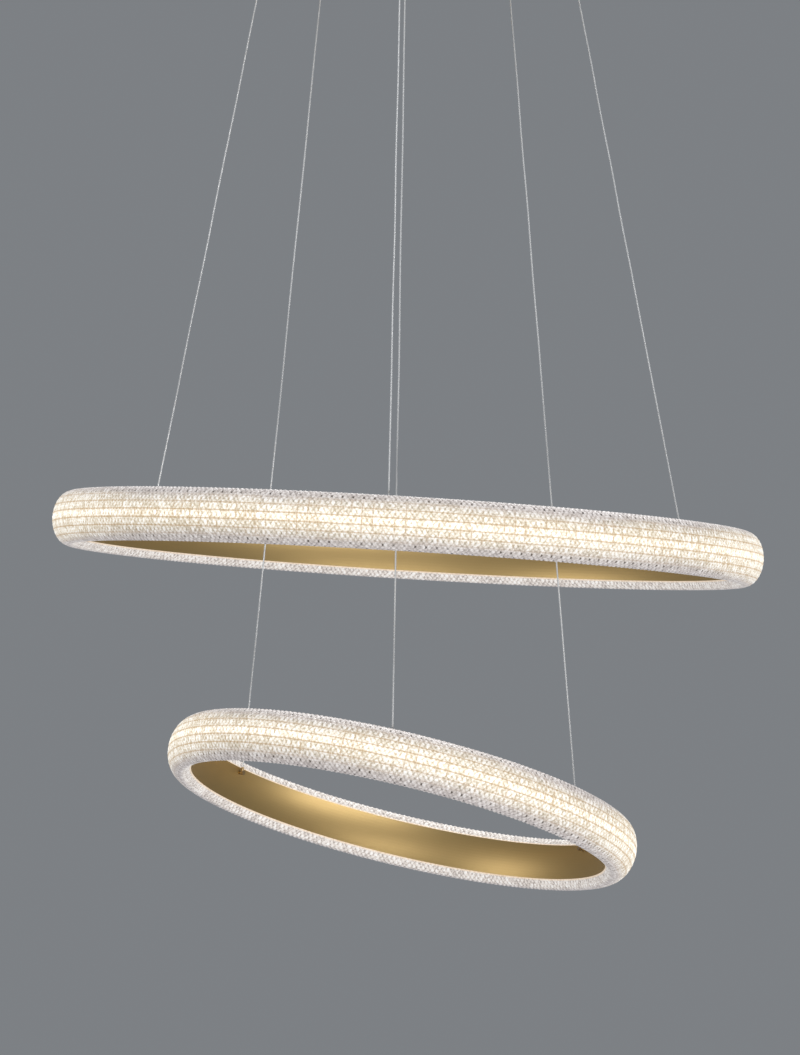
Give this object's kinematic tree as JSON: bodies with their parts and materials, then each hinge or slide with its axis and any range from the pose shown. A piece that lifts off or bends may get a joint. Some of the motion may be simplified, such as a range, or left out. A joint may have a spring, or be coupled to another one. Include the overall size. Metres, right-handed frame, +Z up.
{
  "type": "pendant light",
  "caption": "Pendant light with large and small slanted rings of beaded clear plastic round glowing strips, gold bands inside, hung on thin wires from a round canopy.",
  "frame": {"origin": "centre of the ceiling screw holes, on the ceiling face of the bracket", "axes": "+Z up, out of the ceiling face; +X to the right and +Y away from the viewer in the picture"},
  "size_m": [0.5989, 0.5997, 0.8625],
  "materials": {
    "gold": "satin gold lacquer",
    "diffuser": "clear, beaded",
    "glow": "warm white glow",
    "board": "white",
    "wire_jacket": "clear jacket over tinned strands",
    "brass": "satin",
    "zinc": "zinc plated",
    "steel_plate": "white powder coat",
    "white_plastic": "fine grain",
    "ivory_plastic": "smooth",
    "brown_lead": "insulation",
    "red_lead": "insulation",
    "crimp": "dark"
  },
  "bodies": {
    "canopy": {"ceiling_bracket": "steel_plate", "canopy_shell": "gold", "canopy_side_screws": "brass", "upper_ring_driver": "white_plastic", "lower_ring_driver": "white_plastic", "driver_screws": "zinc", "terminal_block": "ivory_plastic", "terminal_screws": "brass", "earth_screw": "brass", "cable_clamp": "ivory_plastic", "clamp_screws": "zinc", "mains_leads": "brown_lead", "output_leads": "red_lead", "gripper_bodies": "brass", "gripper_nuts": "zinc", "wire_connectors": "ivory_plastic", "wire_tops": "wire_jacket", "upper_left_wire": "wire_jacket", "upper_near_wire": "wire_jacket", "upper_right_wire": "wire_jacket", "lower_left_wire": "wire_jacket", "lower_near_wire": "wire_jacket", "lower_right_wire": "wire_jacket"},
    "upper_left_nose": {"upper_left_release": "brass"},
    "upper_near_nose": {"upper_near_release": "brass"},
    "upper_right_nose": {"upper_right_release": "brass"},
    "upper_hanger": {"upper_wire_ends": "crimp", "upper_right_wire_tail": "wire_jacket"},
    "upper_ring": {"upper_right_wire_end": "crimp", "upper_channel": "gold", "upper_ball_studs": "brass", "upper_stud_nuts": "zinc", "upper_joiner": "zinc", "upper_joiner_rivets": "brass", "upper_led_board": "board", "upper_led_line": "glow", "upper_feed_leads": "ivory_plastic", "upper_diffuser": "diffuser"},
    "lower_left_nose": {"lower_left_release": "brass"},
    "lower_near_nose": {"lower_near_release": "brass"},
    "lower_right_nose": {"lower_right_release": "brass"},
    "lower_hanger": {"lower_wire_ends": "crimp", "lower_right_wire_tail": "wire_jacket"},
    "lower_ring": {"lower_right_wire_end": "crimp", "lower_channel": "gold", "lower_ball_studs": "brass", "lower_stud_nuts": "zinc", "lower_joiner": "zinc", "lower_joiner_rivets": "brass", "lower_led_board": "board", "lower_led_line": "glow", "lower_feed_leads": "ivory_plastic", "lower_diffuser": "diffuser"}
  },
  "joints": [
    {"name": "upper_ring_height", "type": "slide", "parent": "canopy", "child": "upper_hanger", "axis": [0, 0, 1], "range_m": [0, 0.12], "deforming": ["upper_left_wire", "upper_near_wire", "upper_right_wire"]},
    {"name": "upper_ring_tilt", "type": "hinge", "parent": "upper_hanger", "child": "upper_ring", "pos_m": [-0.22523, 0.16152, -0.54245], "axis": [0.4258, -0.9045, -0.026], "range_deg": [0, 7], "deforming": ["upper_right_wire_tail"]},
    {"name": "lower_ring_height", "type": "slide", "parent": "canopy", "child": "lower_hanger", "axis": [0, 0, 1], "range_m": [0, 0.12], "deforming": ["lower_left_wire", "lower_near_wire", "lower_right_wire"]},
    {"name": "lower_ring_tilt", "type": "hinge", "parent": "lower_hanger", "child": "lower_ring", "pos_m": [-0.14559, 0.10996, -0.76186], "axis": [0.415, -0.9079, 0.0597], "range_deg": [0, 16.5], "deforming": ["lower_right_wire_tail"]},
    {"name": "upper_left_release_press", "type": "slide", "parent": "canopy", "child": "upper_left_nose", "axis": [0, 0, 1], "range_m": [0, 0.0025], "stiffness_N_per_m": 400, "springref_m": -0.002},
    {"name": "upper_near_release_press", "type": "slide", "parent": "canopy", "child": "upper_near_nose", "axis": [0, 0, 1], "range_m": [0, 0.0025], "stiffness_N_per_m": 400, "springref_m": -0.002},
    {"name": "upper_right_release_press", "type": "slide", "parent": "canopy", "child": "upper_right_nose", "axis": [0, 0, 1], "range_m": [0, 0.0025], "stiffness_N_per_m": 400, "springref_m": -0.002},
    {"name": "lower_left_release_press", "type": "slide", "parent": "canopy", "child": "lower_left_nose", "axis": [0, 0, 1], "range_m": [0, 0.0025], "stiffness_N_per_m": 400, "springref_m": -0.002},
    {"name": "lower_near_release_press", "type": "slide", "parent": "canopy", "child": "lower_near_nose", "axis": [0, 0, 1], "range_m": [0, 0.0025], "stiffness_N_per_m": 400, "springref_m": -0.002},
    {"name": "lower_right_release_press", "type": "slide", "parent": "canopy", "child": "lower_right_nose", "axis": [0, 0, 1], "range_m": [0, 0.0025], "stiffness_N_per_m": 400, "springref_m": -0.002}
  ]
}
